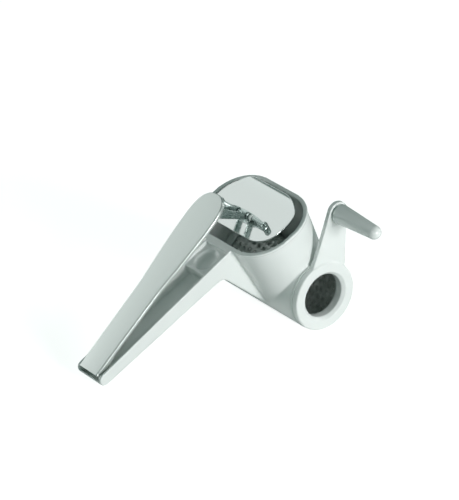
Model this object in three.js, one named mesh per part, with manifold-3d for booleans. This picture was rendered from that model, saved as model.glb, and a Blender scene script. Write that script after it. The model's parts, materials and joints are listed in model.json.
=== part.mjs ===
// Rotary cheese grater, in millimetres, +Z up, standing on z = 0.
//
// The pieces are built in the grater's own frame and then tipped back by the angle at which it rests
// on its hinge end and its drum housing. In the grater's own frame x runs from the hinge end to the
// hopper, the crank is on the -y side and z points out of the hopper's mouth, with z = 0 at the rim
// and x = 0 at the hopper's rear wall.

import * as THREE from 'three';
import { mergeVertices } from 'three/addons/utils/BufferGeometryUtils.js';
import Module from 'manifold-3d';

const wasm = await Module();
wasm.setup();

const DEG = Math.PI / 180;

// Fits
const gap = 0.3;              // between pieces that touch, and around a pressed or riveted fit
const runningGap = 0.4;       // between pieces that turn in each other
const through = 1;            // how far a cut runs past the face it opens
const weld = 1e-4;            // points closer than this are one point

// Handle channel
const handleLength = 128;     // hopper's rear wall to the rounded hinge end
const handleWidth = 26.8;
const handleDepth = 14;       // rim plane to the underside
const handleWall = 2.2;
const handleFloor = 2.4;
const wallDrop = 5.3;         // rim plane to the top of the walls at the hinge end
const barThickness = 3.3;     // cross bar behind the hopper
const blockLength = 22;       // raised block behind the bar
const blockDrop = 2.6;        // rim plane to the top of the block
const dishDepth = 3;
const dishEndMargin = 2;      // block left in front of the dish and behind it
const dishSideMargin = 2.5;
const endWall = 1.2;          // curved wall round the hinge

// Spine behind the hopper
const spineDepth = 15;        // how far its top stands behind the hopper
const spineFillet = 5;
const spineFootDepth = 2;     // below the drum axis, where it runs out on the housing

// Hopper
const hopperLength = 59.5;
const hopperWidth = 87.6;
const hopperEndFlat = 5.5;    // straight stretch between the corners of one end
const hopperWall = 2.4;
const hopperTaper = 2.8;      // each end's draft down to the drum axis
const lipOut = 0.6;
const lipHeight = 1.8;

// Drum housing
const drumAxisDepth = 56.4;   // rim plane to the drum axis
const housingRadius = 25.3;
const housingWall = 2.3;
const neckInset = 0.5;        // end of the neck, inside the hopper's side
const farInset = 1.5;         // far wall's outside, inside the hopper's other side
const farWall = 2.4;

// Neck bearing ring and rear bush
const neckFlange = 1.2;
const neckSleeve = 0.8;
const neckSleeveLength = 6;
const bushBore = 4.3;
const bushWall = 2;
const bushFlange = 1.2;
const bushFlangeRadius = 8.6;

// Drum
const shellThickness = 0.6;
const collarWall = 0.8;       // skirt over the shell, no thinner than the shell's teeth are high
const drumEndGap = 0.9;       // rear cap to the far wall
const holeSize = 3.2;
const holesAround = 10;
const holesAlong = 6;
const holeMargin = 13.5;      // end of the shell to the middle of the first holes
const collarLength = 10;
const collarSkirt = 6;
const capDisc = 2.2;
const capSkirt = 4.3;
const seamWidth = 8;
const seamThickness = 0.8;
const seamAngle = -35;        // about the drum axis, from the crank arm

// Crank
const hubThickness = 4.7;
const hubRim = 5.8;           // drum collar's outside to the hub's bore
const hubBevel = 2.2;
const hubEdge = 0.6;
const spigotWall = 2;
const spigotLength = 3.6;
const lugCount = 3;
const lugWidth = 6;
const lugHeight = 1.6;
const crankRadius = 60.3;
const crankAngle = 38.3;      // arm, forward of the hopper's axis
const armThickness = 3.4;
const armFootHalfWidth = 14.5;
const armFootSink = 1;        // foot's corners inside the hub's edge
const armWaistHalfWidth = 11;
const armWaistRise = 6;       // waist past the middle of the reach
const armTipRadius = 8;

// Knob
const knobLength = 41;
const knobBaseRadius = 7;
const knobTipRadius = 4.9;
const knobEdge = 0.8;
const spindleRadius = 2;
const spindleReach = 30;      // inside the knob
const spindleHead = 4.2;
const spindleHeadThickness = 1;
const washerThickness = 0.8;
const washerInset = 1;        // inside the knob's edge

// Retainer on the far side
const retainerRadius = 8;
const retainerLength = 5;
const retainerWeb = 1.3;
const retainerEdge = 1;

// Lever
const leverRest = 15.4;       // its angle to the rim plane
const leverOverhang = 17.6;   // length past the handle's
const leverTail = 1.5;        // behind the hinge axis
const leverRise = 6;          // hinge axis to the top face
const leverSheet = 1.2;
const leverFlange = 2.6;
const leverHingeHalfWidth = 10;
const leverMiddleHalfWidth = 10.7;
const leverTipHalfWidth = 14;
const leverMiddle = 70;       // hinge axis to where the sides start to flare
const leverTipLength = 21.6;  // shoulder to the tip
const leverFlare = 20;        // sweep of the sides into the shoulder
const leverTipSweep = 4;      // sweep of the shoulder into the tip
const cheekRadius = 2.7;
const cheekLength = 18;
const hingePinRadius = 1.25;
const pinBlindDepth = 1.5;
const spacerThickness = 0.5;
const spacerRadius = 2.6;

// Press arm, from the lever's tip down to the plate
const pivotAhead = 2;         // plate pivot past the lever's tip
const pivotDrop = 23.9;       // hinge axis down to the pivot, square to the lever
const armHalfWidth = 6;
const armSheet = 1.1;
const armPadLength = 25;
const armPadInset = 7.6;      // pad's end, back from the lever's tip
const armCheekRoot = 9;       // width of a cheek at the pad
const armBendDepth = 10;
const armBendOut = 4;         // front edge's bend, past the pad
const armBendIn = 2;          // rear edge's bend, behind the pad's end
const armPivotRadius = 2.6;
const armEyeTurn = 0.3;       // radians that the front edge runs round the eye

// Press plate, about its pivot
const plateHalfWidth = 36;
const plateSheet = 1;
const plateFront = 28.5;
const plateRear = 13.7;
const plateSurface = 4.4;     // pivot down to the plate's top
const plateCurl = 4.5;        // rise of the front edge over the middle
const plateCurlStart = 20;    // pivot to where the curl starts
const plateCurlPower = 1.6;
const plateRearRise = 0.4;
const plateFrontCorner = 20;
const plateRearCorner = 16;
const rodRadius = 1.1;
const rodHalfLength = 26;
const leafHalfLength = 29;
const leafHalfWidth = 4.6;
const leafSheet = 0.8;
const leafLift = 0.15;        // over the plate's rise towards its rear
const earThickness = 1.2;
const earRadius = 2.4;
const beadRadius = 2.1;

// Places worked out from the sizes
const hingeRadius = (handleDepth - wallDrop) / 2;
const hingeX = hingeRadius - handleLength;
const hingeZ = -(handleDepth + wallDrop) / 2;
const channelHalf = handleWidth / 2 - handleWall;
const hopperCorner = (hopperLength - hopperEndFlat) / 2;
const hopperBaseWidth = hopperWidth - 2 * hopperTaper;
const drumX = hopperLength / 2;
const chamberRadius = housingRadius - housingWall;
const neckEnd = hopperWidth / 2 - neckInset;
const farEnd = hopperWidth / 2 - farInset;
const chamberFar = farEnd - farWall;
const sleeveOuter = chamberRadius - gap;
const sleeveBore = sleeveOuter - neckSleeve;
const collarRadius = sleeveBore - gap;
const shellRadius = collarRadius - collarWall - gap;
const ringFace = neckEnd + gap + neckFlange;
const hubBack = ringFace + gap;
const hubFace = hubBack + hubThickness;
const hubRadius = housingRadius - gap;
const hubBore = collarRadius - hubRim;
const spigotRadius = hubBore + spigotWall;
const armBack = Math.max(hubBack, hopperWidth / 2 + lipOut + runningGap);
const armFace = armBack + armThickness;
const collarFront = ringFace;
const collarStep = collarFront - collarLength + collarSkirt;
const shellFront = collarStep - gap;
const capBack = chamberFar - drumEndGap;
const capFace = capBack - capDisc;
const shellBack = -(capFace - gap);
const holePitch = (shellFront - shellBack - 2 * holeMargin) / (holesAlong - 1);
const bushFace = farEnd + gap;
const retainerFace = bushFace + bushFlange + gap;
const stubRadius = bushBore - gap;
const stubEnd = retainerFace + retainerLength - retainerWeb - gap;
const leverLength = handleLength + leverOverhang;
const leverTipX = leverLength - leverTipHalfWidth;
const leverShoulder = leverLength - leverTipLength;
const pivotReach = leverLength + pivotAhead;
const armPadEnd = leverLength - armPadInset;
const armPadStart = armPadEnd - armPadLength;
const rodBore = rodRadius + gap;
const restAngle = Math.atan2(hingeZ + drumAxisDepth, drumX - hingeX)
  + Math.asin((housingRadius - hingeRadius) / Math.hypot(drumX - hingeX, hingeZ + drumAxisDepth));

// ---- Solids ----

function solid(geometry) {
  const bare = geometry.clone();
  bare.deleteAttribute('normal');
  bare.deleteAttribute('uv');
  const merged = mergeVertices(bare, weld);
  return new wasm.Manifold(new wasm.Mesh({
    numProp: 3,
    vertProperties: new Float32Array(merged.attributes.position.array),
    triVerts: new Uint32Array(merged.index.array),
  }));
}

function geometryOf(manifold) {
  const mesh = manifold.getMesh();
  const geometry = new THREE.BufferGeometry();
  geometry.setAttribute('position', new THREE.BufferAttribute(new Float32Array(mesh.vertProperties), 3));
  geometry.setIndex(new THREE.BufferAttribute(new Uint32Array(mesh.triVerts), 1));
  geometry.computeVertexNormals();
  return geometry;
}

// A shape drawn in x and z, extruded along y between two places.
function extrudeY(shape, y0, y1, curveSegments = 16) {
  const geometry = new THREE.ExtrudeGeometry(shape, { depth: y1 - y0, bevelEnabled: false, curveSegments });
  geometry.rotateX(Math.PI / 2);
  geometry.translate(0, y1, 0);
  return geometry;
}

// A shape drawn in x and y, extruded along z between two places.
function extrudeZ(shape, z0, z1, curveSegments = 16) {
  const geometry = new THREE.ExtrudeGeometry(shape, { depth: z1 - z0, bevelEnabled: false, curveSegments });
  geometry.translate(0, 0, z0);
  return geometry;
}

// A rod along y between two places.
function rod(radius, y0, y1, segments = 32) {
  const geometry = new THREE.CylinderGeometry(radius, radius, y1 - y0, segments);
  geometry.translate(0, (y0 + y1) / 2, 0);
  return geometry;
}

// A body turned about y, from a closed profile of [radius, y] points listed anticlockwise.
function turned(profile, segments = 40) {
  const points = profile.map(([radius, y]) => new THREE.Vector2(radius, y));
  points.push(points[0].clone());
  return new THREE.LatheGeometry(points, segments);
}

// A turned body listed for the +y side and faced to the -y side.
function turnedToCrank(profile, segments = 40) {
  return turned(profile, segments).rotateX(Math.PI);
}

function box(x0, x1, y0, y1, z0, z1) {
  const geometry = new THREE.BoxGeometry(x1 - x0, y1 - y0, z1 - z0);
  geometry.translate((x0 + x1) / 2, (y0 + y1) / 2, (z0 + z1) / 2);
  return geometry;
}

function at(geometry, x, z) {
  return geometry.translate(x, 0, z);
}

function join(...geometries) {
  return geometries.map(solid).reduce((whole, piece) => whole.add(piece));
}

function roundedRect(length, width, corner) {
  const shape = new THREE.Shape();
  const x = length / 2 - corner;
  const y = width / 2 - corner;
  shape.moveTo(x, -width / 2);
  shape.absarc(x, -y, corner, -Math.PI / 2, 0, false);
  shape.absarc(x, y, corner, 0, Math.PI / 2, false);
  shape.absarc(-x, y, corner, Math.PI / 2, Math.PI, false);
  shape.absarc(-x, -y, corner, Math.PI, 1.5 * Math.PI, false);
  return shape;
}

// ---- Body ----

// The hopper's outline, drawn down to the drum axis and drawn in to the housing's width on the way.
function funnel(inset, top) {
  const length = hopperLength - 2 * inset;
  const width = hopperWidth - 2 * inset;
  const shape = roundedRect(length, width, hopperCorner - inset);
  const geometry = extrudeZ(shape, -drumAxisDepth, top, 9);
  const baseLength = (2 * housingRadius - 2 * inset) / length;
  const baseWidth = (hopperBaseWidth - 2 * inset) / width;
  const position = geometry.attributes.position;
  for (let i = 0; i < position.count; i += 1) {
    const share = Math.max(0, -position.getZ(i) / drumAxisDepth);
    position.setX(i, drumX + position.getX(i) * THREE.MathUtils.lerp(1, baseLength, share));
    position.setY(i, position.getY(i) * THREE.MathUtils.lerp(1, baseWidth, share));
  }
  return geometry;
}

function rimLip() {
  const outline = roundedRect(hopperLength + 2 * lipOut, hopperWidth + 2 * lipOut, hopperCorner + lipOut);
  return at(extrudeZ(outline, -lipHeight, 0, 9), drumX, 0);
}

// Handle and spine from the side.
function handleProfile() {
  const footZ = -drumAxisDepth - spineFootDepth;
  const footX = drumX - Math.sqrt(housingRadius ** 2 - spineFootDepth ** 2);
  const slope = (footX + spineDepth) / (footZ + handleDepth);
  const shape = new THREE.Shape();
  shape.moveTo(drumX, 0);
  shape.lineTo(-barThickness, 0);
  shape.lineTo(hingeX, hingeZ + hingeRadius);
  shape.absarc(hingeX, hingeZ, hingeRadius, Math.PI / 2, 1.5 * Math.PI, false);
  shape.lineTo(-spineDepth - spineFillet, -handleDepth);
  const filletX = -spineDepth - spineFillet * slope;
  shape.quadraticCurveTo(-spineDepth, -handleDepth, filletX, -handleDepth - spineFillet);
  shape.lineTo(footX, footZ);
  shape.lineTo(drumX, -drumAxisDepth);
  return shape;
}

// The open channel: the deep part, and the shallow part over the raised block.
function channelProfile() {
  const floorZ = -handleDepth + handleFloor;
  const blockX = -barThickness - blockLength;
  const shape = new THREE.Shape();
  shape.moveTo(-barThickness, through);
  shape.lineTo(hingeX - hingeRadius - through, through);
  shape.lineTo(hingeX - hingeRadius - through, hingeZ);
  shape.lineTo(hingeX - hingeRadius + endWall, hingeZ);
  shape.absarc(hingeX, hingeZ, hingeRadius - endWall, Math.PI, 1.5 * Math.PI, false);
  shape.lineTo(hingeX + hingeRadius, floorZ);
  shape.lineTo(blockX, floorZ);
  shape.lineTo(blockX, -blockDrop);
  shape.lineTo(-barThickness, -blockDrop);
  return shape;
}

function blockDish() {
  const geometry = new THREE.SphereGeometry(1, 32, 16);
  geometry.scale(blockLength / 2 - dishEndMargin, channelHalf - dishSideMargin, dishDepth);
  return at(geometry, -barThickness - blockLength / 2, -blockDrop);
}

function bodyHousing() {
  const outside = join(
    funnel(0, 0),
    rimLip(),
    extrudeY(handleProfile(), -handleWidth / 2, handleWidth / 2, 12),
    at(rod(housingRadius, -neckEnd, farEnd, 60), drumX, -drumAxisDepth),
  );
  const inside = join(
    funnel(hopperWall, through),
    at(rod(chamberRadius, -neckEnd - through, chamberFar, 60), drumX, -drumAxisDepth),
    at(rod(bushBore + bushWall + gap, chamberFar - through, farEnd + through), drumX, -drumAxisDepth),
  );
  const pinHole = rod(hingePinRadius + gap, -channelHalf - pinBlindDepth, handleWidth / 2 + through, 24);
  const channel = join(
    extrudeY(channelProfile(), -channelHalf, channelHalf, 12),
    blockDish(),
    at(pinHole, hingeX, hingeZ),
  );
  return geometryOf(outside.subtract(inside).subtract(channel));
}

// ---- Bearings ----

function neckBearingRing() {
  return turnedToCrank([
    [sleeveBore, neckEnd - neckSleeveLength],
    [sleeveOuter, neckEnd - neckSleeveLength],
    [sleeveOuter, neckEnd + gap],
    [housingRadius, neckEnd + gap],
    [housingRadius, ringFace],
    [sleeveBore, ringFace],
  ], 56);
}

function rearBush() {
  return turned([
    [bushBore, chamberFar + gap],
    [bushBore + bushWall, chamberFar + gap],
    [bushBore + bushWall, bushFace],
    [bushFlangeRadius, bushFace],
    [bushFlangeRadius, bushFace + bushFlange],
    [bushBore, bushFace + bushFlange],
  ], 32);
}

// ---- Drum ----

function drumHoles() {
  const holes = [];
  const first = -((holesAlong - 1) * holePitch) / 2;
  for (let row = 0; row < holesAlong; row += 1) {
    for (let column = 0; column < holesAround; column += 1) {
      const hole = new THREE.BoxGeometry(holeSize, holeSize, 4 * shellThickness);
      hole.rotateZ(Math.PI / 4);
      hole.translate(0, first + row * holePitch, shellRadius);
      hole.rotateY(((column + (row % 2) / 2) * 2 * Math.PI) / holesAround);
      holes.push(solid(hole));
    }
  }
  return wasm.Manifold.union(holes);
}

function drumShell() {
  const middle = -(shellFront + shellBack) / 2;
  const tube = solid(turned([
    [shellRadius - shellThickness, -shellFront],
    [shellRadius, -shellFront],
    [shellRadius, -shellBack],
    [shellRadius - shellThickness, -shellBack],
  ], 48));
  return geometryOf(tube.subtract(drumHoles().translate([0, middle, 0])));
}

function drumSeamStrip() {
  const top = Math.sqrt((shellRadius - shellThickness) ** 2 - (seamWidth / 2) ** 2) - gap;
  const strip = box(-seamWidth / 2, seamWidth / 2, -shellFront, -shellBack, top - seamThickness, top);
  return strip.rotateY(seamAngle * DEG);
}

function collarNotches(clearance) {
  const lugs = [];
  for (let index = 0; index < lugCount; index += 1) {
    const half = lugWidth / 2 + clearance;
    const tip = spigotRadius + lugHeight + clearance;
    const lug = box(-half, half, -hubBack, -hubBack + spigotLength + clearance, hubBore + clearance, tip);
    lugs.push(lug.rotateY(((index + 0.5) * 2 * Math.PI) / lugCount));
  }
  return join(...lugs);
}

function drumFrontCollar() {
  const ring = solid(turnedToCrank([
    [shellRadius + gap, collarFront - collarLength],
    [collarRadius, collarFront - collarLength],
    [collarRadius, collarFront],
    [spigotRadius + gap, collarFront],
    [spigotRadius + gap, collarStep],
    [shellRadius + gap, collarStep],
  ], 72));
  return geometryOf(ring.subtract(collarNotches(gap)));
}

function drumRearCap() {
  return turned([
    [0, capFace],
    [shellRadius + gap, capFace],
    [shellRadius + gap, capFace - capSkirt],
    [collarRadius, capFace - capSkirt],
    [collarRadius, capBack],
    [stubRadius, capBack],
    [stubRadius, stubEnd],
    [0, stubEnd],
  ]);
}

function drumRetainer() {
  return turned([
    [0, stubEnd + gap],
    [bushBore, stubEnd + gap],
    [bushBore, retainerFace],
    [retainerRadius, retainerFace],
    [retainerRadius, retainerFace + retainerLength - retainerEdge],
    [retainerRadius - retainerEdge, retainerFace + retainerLength],
    [0, retainerFace + retainerLength],
  ], 40);
}

// ---- Crank and knob ----

// Arm outline about the drum axis, pointing up.
function armShape() {
  const shape = new THREE.Shape();
  const foot = Math.sqrt(hubRadius ** 2 - armFootHalfWidth ** 2) - armFootSink;
  const waist = crankRadius / 2 + armWaistRise;
  shape.moveTo(-armFootHalfWidth, foot);
  shape.quadraticCurveTo(-armWaistHalfWidth, waist, -armTipRadius, crankRadius);
  shape.absarc(0, crankRadius, armTipRadius, Math.PI, 0, true);
  shape.quadraticCurveTo(armWaistHalfWidth, waist, armFootHalfWidth, foot);
  return shape;
}

function crank() {
  const hub = turnedToCrank([
    [hubBore, hubBack - spigotLength],
    [spigotRadius, hubBack - spigotLength],
    [spigotRadius, hubBack],
    [hubRadius, hubBack],
    [hubRadius, hubFace - hubEdge],
    [hubRadius - hubEdge, hubFace],
    [hubBore + hubBevel, hubFace],
    [hubBore, hubFace - hubBevel],
  ], 56);
  const arm = extrudeY(armShape(), -armFace, -armBack, 12);
  const lugs = collarNotches(0);
  const bore = rod(spindleRadius + gap, -armFace - through, -armBack + through, 24);
  bore.translate(0, 0, crankRadius);
  const recess = rod(spindleHead + gap, -armBack - spindleHeadThickness - gap, -armBack + through, 24);
  recess.translate(0, 0, crankRadius);
  return geometryOf(join(hub, arm).add(lugs).subtract(join(bore, recess)));
}

function knob() {
  const base = armFace + gap + washerThickness + gap;
  const tip = base + knobLength;
  const dome = knobTipRadius;
  const steps = 6;
  const bore = spindleRadius + gap;
  const blind = base + spindleReach + gap;
  const profile = [[0, blind], [bore, blind], [bore, base]];
  profile.push([knobBaseRadius - knobEdge, base], [knobBaseRadius, base + knobEdge]);
  for (let step = 0; step <= steps; step += 1) {
    const turn = (step / steps) * (Math.PI / 2);
    profile.push([dome * Math.cos(turn), tip - dome + dome * Math.sin(turn)]);
  }
  return turnedToCrank(profile, 32);
}

function knobSpindle() {
  const head = armBack + spindleHeadThickness;
  const end = armFace + 2 * gap + washerThickness + spindleReach;
  return turnedToCrank([
    [0, armBack],
    [spindleHead, armBack],
    [spindleHead, head],
    [spindleRadius, head],
    [spindleRadius, end],
    [0, end],
  ], 24);
}

function knobWasher() {
  const back = armFace + gap;
  return turnedToCrank([
    [spindleRadius + gap, back],
    [knobBaseRadius - washerInset, back],
    [knobBaseRadius - washerInset, back + washerThickness],
    [spindleRadius + gap, back + washerThickness],
  ], 24);
}

// ---- Lever ----

// Lever outline from above, drawn in all round by inset; the tail stays open when it is cut long.
function leverShape(inset, tail) {
  const hinge = leverHingeHalfWidth - inset;
  const middle = leverMiddleHalfWidth - inset;
  const shoulder = leverTipHalfWidth - inset;
  const tip = leverLength - inset;
  const sweep = leverTipX + leverTipSweep;
  const shape = new THREE.Shape();
  shape.moveTo(-tail, -hinge);
  shape.lineTo(0, -hinge);
  shape.lineTo(leverMiddle, -middle);
  shape.quadraticCurveTo(leverShoulder - leverFlare, -shoulder, leverShoulder, -shoulder);
  shape.bezierCurveTo(sweep, -shoulder, tip, -shoulder / 2, tip, 0);
  shape.bezierCurveTo(tip, shoulder / 2, sweep, shoulder, leverShoulder, shoulder);
  shape.quadraticCurveTo(leverShoulder - leverFlare, shoulder, leverMiddle, middle);
  shape.lineTo(0, hinge);
  shape.lineTo(-tail, hinge);
  return shape;
}

// Cheek round the hinge pin, from the side. Its rear edge leans forward,
// to clear the end wall as the lever opens.
function cheekShape() {
  const neck = leverRise - leverFlange;
  const lean = Math.PI / 2 + Math.acos(cheekRadius / neck);
  const shape = new THREE.Shape();
  shape.moveTo(cheekRadius, 0);
  shape.lineTo(cheekLength, neck);
  shape.lineTo(cheekLength, leverRise - leverSheet / 2);
  shape.lineTo(0, leverRise - leverSheet / 2);
  shape.lineTo(0, neck);
  shape.absarc(0, 0, cheekRadius, lean, 2 * Math.PI, false);
  return shape;
}

// The turned-down edge stops at the hinge, so that only the flat top runs on over the end wall.
function lever() {
  const top = extrudeZ(leverShape(0, leverTail), leverRise - leverFlange, leverRise);
  const inside = extrudeZ(leverShape(leverSheet, leverTail + through), -leverRise, leverRise - leverSheet);
  const outer = leverHingeHalfWidth;
  const side = outer + through;
  const relief = box(-leverTail - through, 0, -side, side, -leverRise, leverRise - leverSheet);
  const cheeks = [-outer, outer - leverSheet].map((y) => (
    solid(extrudeY(cheekShape(), y, y + leverSheet, 16))
  ));
  const bore = rod(hingePinRadius + gap, -outer - through, outer + through, 24);
  const pressing = solid(top).subtract(solid(inside)).subtract(solid(relief));
  return geometryOf(pressing.add(cheeks[0]).add(cheeks[1]).subtract(solid(bore)));
}

function hingePin() {
  return rod(hingePinRadius, -channelHalf - pinBlindDepth + gap, handleWidth / 2 - gap, 24);
}

function hingeSpacer(side) {
  const inner = leverHingeHalfWidth + gap;
  const washer = turned([
    [hingePinRadius + gap, inner],
    [spacerRadius, inner],
    [spacerRadius, inner + spacerThickness],
    [hingePinRadius + gap, inner + spacerThickness],
  ], 24);
  return side < 0 ? washer.rotateX(Math.PI) : washer;
}

// ---- Press arm and plate ----

function pressArmCheek() {
  const top = leverRise - leverSheet - gap;
  const root = armPadEnd - armCheekRoot;
  const eyeX = pivotReach + armPivotRadius * Math.cos(armEyeTurn);
  const eyeZ = armPivotRadius * Math.sin(armEyeTurn) - pivotDrop;
  const shape = new THREE.Shape();
  shape.moveTo(root, top - armSheet);
  shape.lineTo(root, top);
  shape.lineTo(armPadEnd, top);
  shape.quadraticCurveTo(armPadEnd + armBendOut, -armBendDepth, eyeX, eyeZ);
  shape.absarc(pivotReach, -pivotDrop, armPivotRadius, armEyeTurn, armEyeTurn - Math.PI, true);
  shape.quadraticCurveTo(armPadEnd - armBendIn, -armBendDepth, root, top - armSheet);
  return shape;
}

function pressArm() {
  const top = leverRise - leverSheet - gap;
  const pad = box(armPadStart, armPadEnd, -armHalfWidth, armHalfWidth, top - armSheet, top);
  const near = extrudeY(pressArmCheek(), -armHalfWidth, -armHalfWidth + armSheet, 10);
  const far = extrudeY(pressArmCheek(), armHalfWidth - armSheet, armHalfWidth, 10);
  const bore = rod(rodBore, -armHalfWidth - through, armHalfWidth + through, 20);
  return geometryOf(join(pad, near, far).subtract(solid(at(bore, pivotReach, -pivotDrop))));
}

// Height of the plate's top face over its middle, with the front curled up.
function plateHeight(x) {
  const share = THREE.MathUtils.clamp((x - plateCurlStart) / (plateFront - plateCurlStart), 0, 1);
  return plateCurl * share ** plateCurlPower + plateRearRise * (Math.min(0, x) / plateRear) ** 2;
}

function plateStrip() {
  const steps = 16;
  const top = [];
  const under = [];
  for (let step = 0; step <= steps; step += 1) {
    const x = THREE.MathUtils.lerp(-plateRear - through, plateFront + through, Math.sqrt(step / steps));
    top.push(new THREE.Vector2(x, plateHeight(x) - plateSurface));
    under.unshift(new THREE.Vector2(x, plateHeight(x) - plateSurface - plateSheet));
  }
  return new THREE.Shape([...under.reverse(), ...top.reverse()]);
}

function platePlan() {
  const frontX = plateFront - plateFrontCorner;
  const frontY = plateHalfWidth - plateFrontCorner;
  const rearX = plateRearCorner - plateRear;
  const rearY = plateHalfWidth - plateRearCorner;
  const shape = new THREE.Shape();
  shape.moveTo(rearX, -plateHalfWidth);
  shape.absarc(frontX, -frontY, plateFrontCorner, -Math.PI / 2, 0, false);
  shape.absarc(frontX, frontY, plateFrontCorner, 0, Math.PI / 2, false);
  shape.absarc(rearX, rearY, plateRearCorner, Math.PI / 2, Math.PI, false);
  shape.absarc(rearX, -rearY, plateRearCorner, Math.PI, 1.5 * Math.PI, false);
  return shape;
}

function pressPlate() {
  const sheet = solid(extrudeY(plateStrip(), -plateHalfWidth - through, plateHalfWidth + through));
  return geometryOf(sheet.intersect(solid(extrudeZ(platePlan(), -plateFront, plateFront, 10))));
}

function leafShape() {
  const shape = new THREE.Shape();
  shape.moveTo(0, -leafHalfLength);
  shape.quadraticCurveTo(2 * leafHalfWidth, 0, 0, leafHalfLength);
  shape.quadraticCurveTo(-2 * leafHalfWidth, 0, 0, -leafHalfLength);
  return shape;
}

function earShape(base) {
  const shape = new THREE.Shape();
  shape.moveTo(-earRadius, base);
  shape.lineTo(earRadius, base);
  shape.absarc(0, 0, earRadius, 0, Math.PI, false);
  return shape;
}

function plateBracket() {
  const base = gap + leafLift - plateSurface;
  const inner = armHalfWidth + runningGap;
  const outer = rodHalfLength - 2 * earThickness;
  const leaf = extrudeZ(leafShape(), base, base + leafSheet, 12);
  const ears = [inner, outer].flatMap((y) => [[y, y + earThickness], [-y - earThickness, -y]]);
  const solids = ears.map(([y0, y1]) => extrudeY(earShape(base + leafSheet / 2), y0, y1, 12));
  const bore = solid(rod(rodBore, -rodHalfLength - through, rodHalfLength + through, 20));
  return geometryOf(join(leaf, ...solids).subtract(bore));
}

function platePivotPin() {
  return rod(rodRadius, -rodHalfLength, rodHalfLength, 20);
}

function pivotBead(side) {
  const halfTurn = Math.acos(rodBore / beadRadius);
  const middle = armHalfWidth + runningGap + earThickness + gap + beadRadius * Math.sin(halfTurn);
  const steps = 8;
  const profile = [];
  for (let step = 0; step <= steps; step += 1) {
    const turn = THREE.MathUtils.lerp(-halfTurn, halfTurn, step / steps);
    profile.push([beadRadius * Math.cos(turn), middle + beadRadius * Math.sin(turn)]);
  }
  const bead = turned(profile, 24);
  return side < 0 ? bead.rotateX(Math.PI) : bead;
}

// ---- Assembly ----

function finish(color, roughness, metalness) {
  return new THREE.MeshStandardMaterial({ color, roughness, metalness });
}

const whitePlastic = finish(0xf1f4f2, 0.35, 0);
const bearingPlastic = finish(0xdfe6e2, 0.4, 0);
const brushedSteel = finish(0xc6ccc9, 0.32, 1);
const polishedSteel = finish(0xd9dedb, 0.12, 1);
const drumSteel = finish(0xb4bbb8, 0.25, 1);

function piece(name, geometry, material) {
  const mesh = new THREE.Mesh(geometry, material);
  mesh.name = name;
  return mesh;
}

function framePieces() {
  const group = new THREE.Group();
  group.add(piece('body_housing', bodyHousing(), whitePlastic));
  const bearings = new THREE.Group();
  bearings.position.set(drumX, 0, -drumAxisDepth);
  bearings.add(piece('neck_bearing_ring', neckBearingRing(), bearingPlastic));
  bearings.add(piece('rear_bush', rearBush(), bearingPlastic));
  const hinge = new THREE.Group();
  hinge.position.set(hingeX, 0, hingeZ);
  hinge.add(piece('hinge_pin', hingePin(), brushedSteel));
  hinge.add(piece('hinge_spacer_near', hingeSpacer(-1), bearingPlastic));
  hinge.add(piece('hinge_spacer_far', hingeSpacer(1), bearingPlastic));
  group.add(bearings, hinge);
  return group;
}

function drumPieces() {
  const group = new THREE.Group();
  group.position.set(drumX, 0, -drumAxisDepth);
  group.rotation.y = crankAngle * DEG;
  group.add(piece('drum_shell', drumShell(), drumSteel));
  group.add(piece('drum_seam_strip', drumSeamStrip(), drumSteel));
  group.add(piece('drum_front_collar', drumFrontCollar(), bearingPlastic));
  group.add(piece('drum_rear_cap', drumRearCap(), whitePlastic));
  group.add(piece('drum_retainer', drumRetainer(), whitePlastic));
  group.add(piece('crank', crank(), whitePlastic));
  const grip = new THREE.Group();
  grip.position.set(0, 0, crankRadius);
  grip.add(piece('knob', knob(), whitePlastic));
  grip.add(piece('knob_spindle', knobSpindle(), brushedSteel));
  grip.add(piece('knob_washer', knobWasher(), bearingPlastic));
  group.add(grip);
  return group;
}

function leverPieces() {
  const group = new THREE.Group();
  group.position.set(hingeX, 0, hingeZ);
  group.rotation.y = -leverRest * DEG;
  group.add(piece('lever', lever(), brushedSteel));
  group.add(piece('press_arm', pressArm(), brushedSteel));
  const plate = new THREE.Group();
  plate.position.set(pivotReach, 0, -pivotDrop);
  plate.rotation.y = leverRest * DEG;
  plate.add(piece('press_plate', pressPlate(), polishedSteel));
  plate.add(piece('plate_bracket', plateBracket(), brushedSteel));
  plate.add(piece('plate_pivot_pin', platePivotPin(), brushedSteel));
  plate.add(piece('pivot_bead_near', pivotBead(-1), bearingPlastic));
  plate.add(piece('pivot_bead_far', pivotBead(1), bearingPlastic));
  group.add(plate);
  return group;
}

// The origin is at the middle of the whole grater's footprint, on the ground.
function assembly() {
  const grater = new THREE.Group();
  const tipped = new THREE.Group();
  tipped.rotation.y = -restAngle;
  tipped.add(framePieces(), drumPieces(), leverPieces());
  grater.add(tipped);
  const bounds = new THREE.Box3().setFromObject(grater, true);
  tipped.position.set(
    -(bounds.min.x + bounds.max.x) / 2,
    -(bounds.min.y + bounds.max.y) / 2,
    -bounds.min.z,
  );
  return grater;
}

export default assembly();
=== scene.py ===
"""Rotary cheese grater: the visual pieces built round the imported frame.

All lengths are in metres. Pieces are drawn in the grater's own frame and then placed in the row frame.
In the grater's frame x runs along the handle to the hopper, the crank is on the -y side and z points out
of the hopper's mouth.
"""

import json
import math

import bmesh
import bpy
import numpy as np
from bpy.props import FloatProperty, FloatVectorProperty, IntProperty, PointerProperty
from mathutils import Matrix, Vector


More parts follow.
